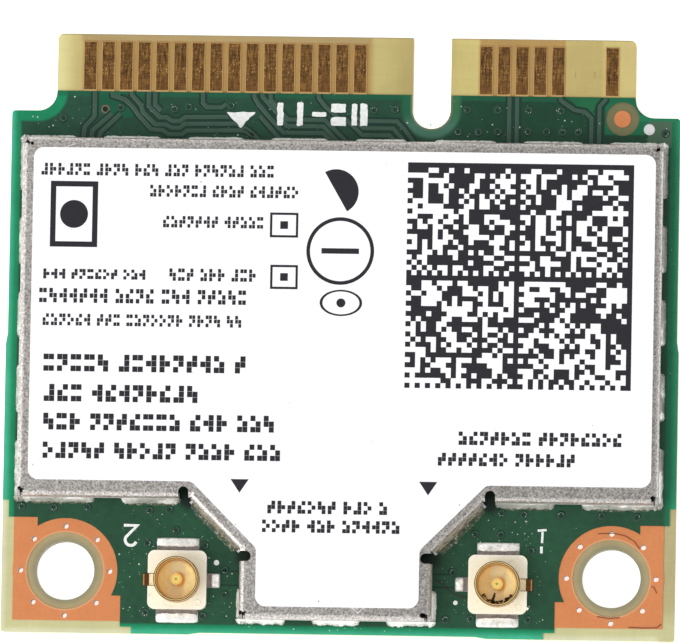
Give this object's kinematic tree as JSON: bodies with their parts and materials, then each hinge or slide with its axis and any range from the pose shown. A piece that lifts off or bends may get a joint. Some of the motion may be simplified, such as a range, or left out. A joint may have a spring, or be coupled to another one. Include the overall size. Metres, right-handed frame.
{
  "type": "mini pcie wifi card",
  "caption": "Half-size plug-in radio card: shielded board with a keyed gold edge connector, screw holes and antenna jacks.",
  "frame": {"origin": "middle of the outline, on the underside that the card lies on", "axes": "+Z out of the shielded face, +Y out of the edge connector, +X towards the connector's short side"},
  "size_m": [0.0298, 0.0266, 0.0024],
  "materials": {
    "laminate": "matt woven glass laminate",
    "solder_mask": "glossy green coating",
    "gold_contact": "gold plated, worn",
    "screw_pad": "bare copper, protected",
    "tin": "tinned copper",
    "solder": "bright solder",
    "shield_sheet": "tinned sheet, speckled",
    "label": "satin white film",
    "jack_housing": "ivory moulding",
    "jack_gold": "gold plated",
    "chip_black": "moulded black",
    "crystal_case": "metal lid",
    "ferrite": "matt ferrite",
    "capacitor": "ceramic",
    "resistor": "ceramic"
  },
  "bodies": {
    "root": {"circuit_board": "laminate", "solder_mask_top": "solder_mask", "solder_mask_bottom": "solder_mask", "edge_contacts_top": "gold_contact", "edge_contacts_bottom": "gold_contact", "screw_pad_top_left": "screw_pad", "screw_pad_top_right": "screw_pad", "screw_pad_bottom_left": "screw_pad", "screw_pad_bottom_right": "screw_pad", "fiducial_disc": "screw_pad", "test_pad_top": "tin", "open_via": "screw_pad", "test_pads_bottom": "tin", "shield_lands": "tin", "shield_solder": "solder", "shield_can": "shield_sheet", "shield_label": "label", "jack_lands": "tin", "jack_left_housing": "jack_housing", "jack_left_shell": "jack_gold", "jack_left_pin": "jack_gold", "jack_left_solder": "solder", "jack_right_housing": "jack_housing", "jack_right_shell": "jack_gold", "jack_right_pin": "jack_gold", "jack_right_solder": "solder", "radio_chip": "chip_black", "memory_chip": "chip_black", "crystal": "crystal_case", "front_end_left": "chip_black", "front_end_right": "chip_black", "antenna_filters": "capacitor", "power_inductors": "ferrite", "chip_capacitors": "capacitor", "chip_resistors": "resistor"}
  },
  "joints": []
}
